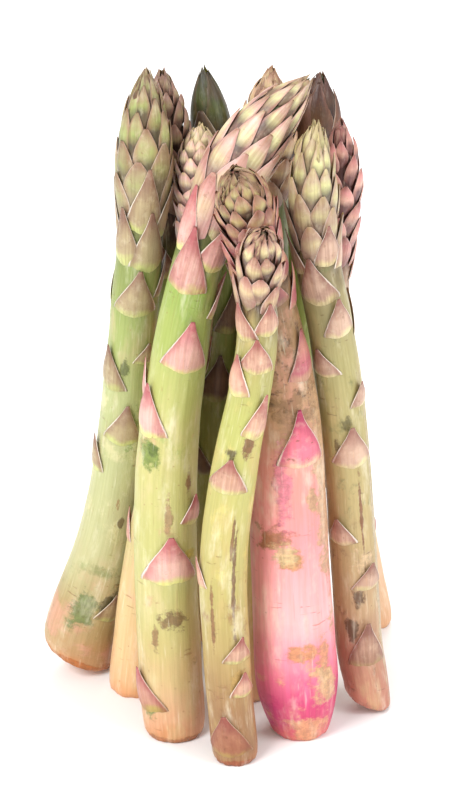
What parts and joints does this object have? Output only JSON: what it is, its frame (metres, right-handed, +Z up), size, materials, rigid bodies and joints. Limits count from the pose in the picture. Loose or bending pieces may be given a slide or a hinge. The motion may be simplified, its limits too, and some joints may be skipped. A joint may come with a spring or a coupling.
{
  "type": "bundle of asparagus",
  "caption": "Loose bunch of green and purple asparagus spears standing on its cut ends, feet spread and closed heads leaning together.",
  "frame": {"origin": "centre of the footprint's box, on the surface the cut ends stand on", "axes": "+Z up along the spears towards the tips, -Y towards the viewer, +X to the viewer's right"},
  "size_m": [0.1194, 0.1068, 0.2141],
  "materials": {
    "spear_left_olive": "satin, moist plant skin",
    "spear_behind_left_plum": "satin, moist plant skin",
    "spear_stubby_peach": "satin, moist plant skin",
    "spear_back_dark": "satin, moist plant skin",
    "spear_back_gold": "satin, moist plant skin",
    "spear_back_brown": "satin, moist plant skin",
    "spear_front_green": "satin, moist plant skin",
    "spear_front_curved": "satin, moist plant skin",
    "spear_pink_thick": "satin, moist plant skin",
    "spear_right_pale": "satin, moist plant skin",
    "spear_far_right_purple": "satin, moist plant skin"
  },
  "bodies": {
    "root": {"spear_left_olive": "spear_left_olive", "spear_behind_left_plum": "spear_behind_left_plum", "spear_stubby_peach": "spear_stubby_peach", "spear_back_dark": "spear_back_dark", "spear_back_gold": "spear_back_gold", "spear_back_brown": "spear_back_brown", "spear_front_green": "spear_front_green", "spear_front_curved": "spear_front_curved", "spear_pink_thick": "spear_pink_thick", "spear_right_pale": "spear_right_pale", "spear_far_right_purple": "spear_far_right_purple"}
  },
  "joints": []
}
